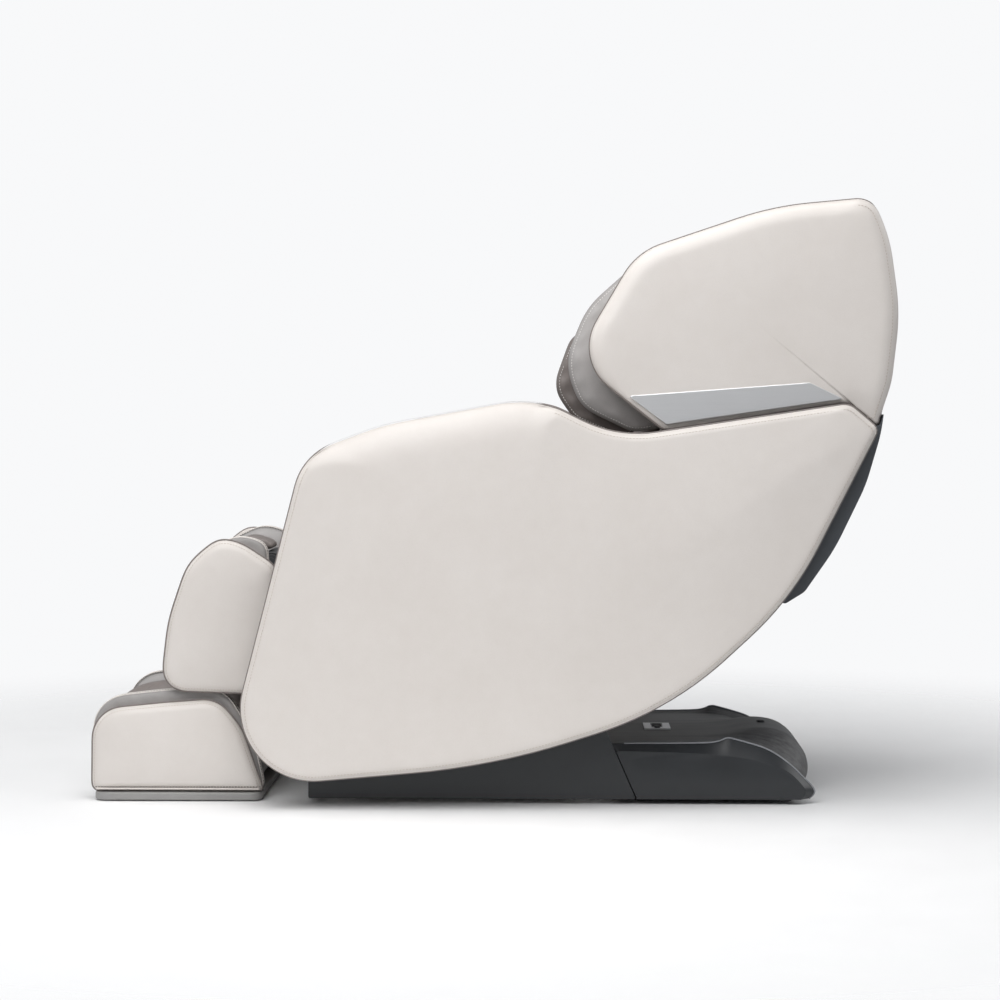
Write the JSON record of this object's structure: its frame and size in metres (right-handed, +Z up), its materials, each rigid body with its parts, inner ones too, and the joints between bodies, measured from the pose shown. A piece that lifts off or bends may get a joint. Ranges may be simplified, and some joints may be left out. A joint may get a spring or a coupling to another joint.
{
  "type": "massage chair",
  "caption": "Reclining massage chair on a sliding base, with egg-shaped side panels, shoulder wings, leg and foot massage units and a back massage robot.",
  "frame": {"origin": "centre of the bounding box at floor level, in the upright rest position", "axes": "+Z up; the sitter faces -Y; +X is the sitter's left"},
  "size_m": [0.78, 1.5527, 1.1592],
  "materials": {
    "ivory_leather": "fine-grained, satin",
    "grey_leather": "fine-grained, satin",
    "taupe_leather": "fine-grained, slightly wrinkled",
    "silver_trim": "metallic silver paint",
    "ivory_shell": "satin moulded",
    "charcoal_cover": "fine moulded texture",
    "slate_cover": "satin, brushed pattern on the deck",
    "sole_plastic": "moulded",
    "black_plastic": "moulded",
    "black_rubber": "matt",
    "painted_steel": "powder coat",
    "bright_steel": "zinc plated",
    "plywood": "birch plywood"
  },
  "bodies": {
    "base": {"base_frame": "painted_steel", "base_skirt": "slate_cover", "base_tail_cover": "slate_cover", "socket_plate": "silver_trim", "mains_inlet": "black_plastic", "base_motors": "black_plastic", "floor_pads": "black_rubber"},
    "switch_rocker": {"power_switch": "black_plastic"},
    "wheel_pair": {"transport_wheels": "black_rubber"},
    "carriage": {"carriage_frame": "painted_steel", "slide_shoes": "black_plastic"},
    "seat": {"seat_frame": "painted_steel", "seat_board": "plywood", "seat_cushion": "taupe_leather", "arm_panel_left": "ivory_leather", "arm_panel_right": "ivory_leather", "arm_linings": "taupe_leather", "key_plate": "silver_trim"},
    "recline_key_cap": {"recline_key": "black_plastic"},
    "massage_key_cap": {"massage_key": "black_plastic"},
    "backrest": {"back_frame": "painted_steel", "guide_rails": "bright_steel", "back_liner": "taupe_leather", "rear_shell": "ivory_shell", "rear_cover": "charcoal_cover", "back_cushion": "taupe_leather", "head_pillow": "grey_leather", "back_units": "black_plastic", "wing_left": "ivory_leather", "wing_right": "ivory_leather", "wing_trims": "silver_trim", "shoulder_pads": "grey_leather", "arm_bolsters": "taupe_leather"},
    "robot": {"robot_chassis": "painted_steel"},
    "upper_guide_pair": {"upper_guide_wheels": "black_plastic"},
    "lower_guide_pair": {"lower_guide_wheels": "black_plastic"},
    "knead_arm_pair": {"knead_arms": "painted_steel"},
    "upper_roller_pair": {"upper_rollers": "black_rubber"},
    "lower_roller_pair": {"lower_rollers": "black_rubber"},
    "calf_unit": {"calf_board": "black_plastic", "calf_sides": "ivory_leather", "calf_pads": "grey_leather", "calf_divider": "taupe_leather", "calf_bed": "grey_leather", "calf_air_valves": "black_plastic"},
    "foot_unit": {"foot_tray": "sole_plastic", "foot_sides": "ivory_leather", "foot_walls": "grey_leather", "foot_divider": "taupe_leather", "foot_bed": "black_plastic", "heel_wall": "grey_leather", "foot_slide_rods": "bright_steel"},
    "front_foot_roller_bar": {"front_foot_roller": "black_rubber"},
    "rear_foot_roller_bar": {"rear_foot_roller": "black_rubber"},
    "leg_actuator_body": {"leg_actuator": "black_plastic"},
    "leg_rod": {"leg_push_rod": "bright_steel"},
    "tilt_actuator_body": {"tilt_actuator": "black_plastic"},
    "tilt_rod": {"tilt_push_rod": "bright_steel"},
    "recline_actuator_body": {"recline_actuator": "black_plastic"},
    "recline_rod": {"recline_push_rod": "bright_steel"}
  },
  "joints": [
    {"name": "base_slide", "type": "slide", "parent": "base", "child": "carriage", "axis": [0, -1, 0], "range_m": [0, 0.1]},
    {"name": "body_tilt", "type": "hinge", "parent": "carriage", "child": "seat", "pos_m": [0, 0.0645, 0.3], "axis": [-1, 0, 0], "range_deg": [0, 16]},
    {"name": "back_recline", "type": "hinge", "parent": "seat", "child": "backrest", "pos_m": [0, 0.2745, 0.42], "axis": [-1, 0, 0], "range_deg": [0, 20]},
    {"name": "leg_lift", "type": "hinge", "parent": "seat", "child": "calf_unit", "pos_m": [0, -0.4405, 0.455], "axis": [-1, 0, 0], "range_deg": [0, 80]},
    {"name": "foot_extend", "type": "slide", "parent": "calf_unit", "child": "foot_unit", "axis": [0, 0, -1], "range_m": [0, 0.12]},
    {"name": "robot_travel", "type": "slide", "parent": "backrest", "child": "robot", "axis": [0, 0.4695, 0.8829], "range_m": [-0.21, 0.3]},
    {"name": "knead_tap", "type": "hinge", "parent": "robot", "child": "knead_arm_pair", "pos_m": [0, 0.42943, 0.71137], "axis": [1, 0, 0], "range_deg": [-6, 6]},
    {"name": "upper_roller_spin", "type": "hinge", "parent": "knead_arm_pair", "child": "upper_roller_pair", "pos_m": [0, 0.40804, 0.78617], "axis": [1, 0, 0], "continuous": true},
    {"name": "lower_roller_spin", "type": "hinge", "parent": "knead_arm_pair", "child": "lower_roller_pair", "pos_m": [0, 0.35546, 0.68728], "axis": [1, 0, 0], "continuous": true},
    {"name": "upper_guide_spin", "type": "hinge", "parent": "robot", "child": "upper_guide_pair", "pos_m": [0, 0.456, 0.77199], "axis": [1, 0, 0], "continuous": true},
    {"name": "lower_guide_spin", "type": "hinge", "parent": "robot", "child": "lower_guide_pair", "pos_m": [0, 0.39403, 0.65545], "axis": [1, 0, 0], "continuous": true},
    {"name": "front_foot_roller_spin", "type": "hinge", "parent": "foot_unit", "child": "front_foot_roller_bar", "pos_m": [0, -0.6855, 0.04], "axis": [1, 0, 0], "continuous": true},
    {"name": "rear_foot_roller_spin", "type": "hinge", "parent": "foot_unit", "child": "rear_foot_roller_bar", "pos_m": [0, -0.5855, 0.04], "axis": [1, 0, 0], "continuous": true},
    {"name": "transport_wheel_spin", "type": "hinge", "parent": "base", "child": "wheel_pair", "pos_m": [0, 0.5705, 0.028], "axis": [1, 0, 0], "continuous": true},
    {"name": "power_switch_rock", "type": "hinge", "parent": "base", "child": "switch_rocker", "pos_m": [-0.012, 0.3335, 0.112], "axis": [1, 0, 0], "range_deg": [-8, 8]},
    {"name": "recline_key_press", "type": "slide", "parent": "seat", "child": "recline_key_cap", "axis": [-1, 0, 0], "range_m": [0, 0.0015], "stiffness_N_per_m": 600},
    {"name": "massage_key_press", "type": "slide", "parent": "seat", "child": "massage_key_cap", "axis": [-1, 0, 0], "range_m": [0, 0.0015], "stiffness_N_per_m": 600},
    {"name": "leg_actuator_swing", "type": "hinge", "parent": "seat", "child": "leg_actuator_body", "pos_m": [0, -0.0455, 0.355], "axis": [-1, 0, 0], "range_deg": [0, 4.58]},
    {"name": "leg_rod_push", "type": "slide", "parent": "leg_actuator_body", "child": "leg_rod", "axis": [0, -0.9969, 0.0787], "range_m": [0, 0.08762]},
    {"name": "tilt_actuator_swing", "type": "hinge", "parent": "carriage", "child": "tilt_actuator_body", "pos_m": [0, -0.1975, 0.146], "axis": [-1, 0, 0], "range_deg": [0, 1.3]},
    {"name": "tilt_rod_push", "type": "slide", "parent": "tilt_actuator_body", "child": "tilt_rod", "axis": [0, 0.3828, 0.9238], "range_m": [0, 0.05164]},
    {"name": "recline_actuator_swing", "type": "hinge", "parent": "seat", "child": "recline_actuator_body", "pos_m": [0, 0.0345, 0.38], "axis": [-1, 0, 0], "range_deg": [-1.73, 0]},
    {"name": "recline_rod_push", "type": "slide", "parent": "recline_actuator_body", "child": "recline_rod", "axis": [0, 0.9972, -0.0742], "range_m": [-0.01955, 0]}
  ],
  "couplings": [
    {"joint": "leg_actuator_swing", "follows": "leg_lift", "ratio": 0.05608},
    {"joint": "leg_rod_push", "follows": "leg_lift", "m_per_rad": 0.06152},
    {"joint": "tilt_actuator_swing", "follows": "body_tilt", "ratio": 0.07962},
    {"joint": "tilt_rod_push", "follows": "body_tilt", "m_per_rad": 0.18128},
    {"joint": "recline_actuator_swing", "follows": "back_recline", "ratio": -0.08464},
    {"joint": "recline_rod_push", "follows": "back_recline", "m_per_rad": -0.05491}
  ]
}
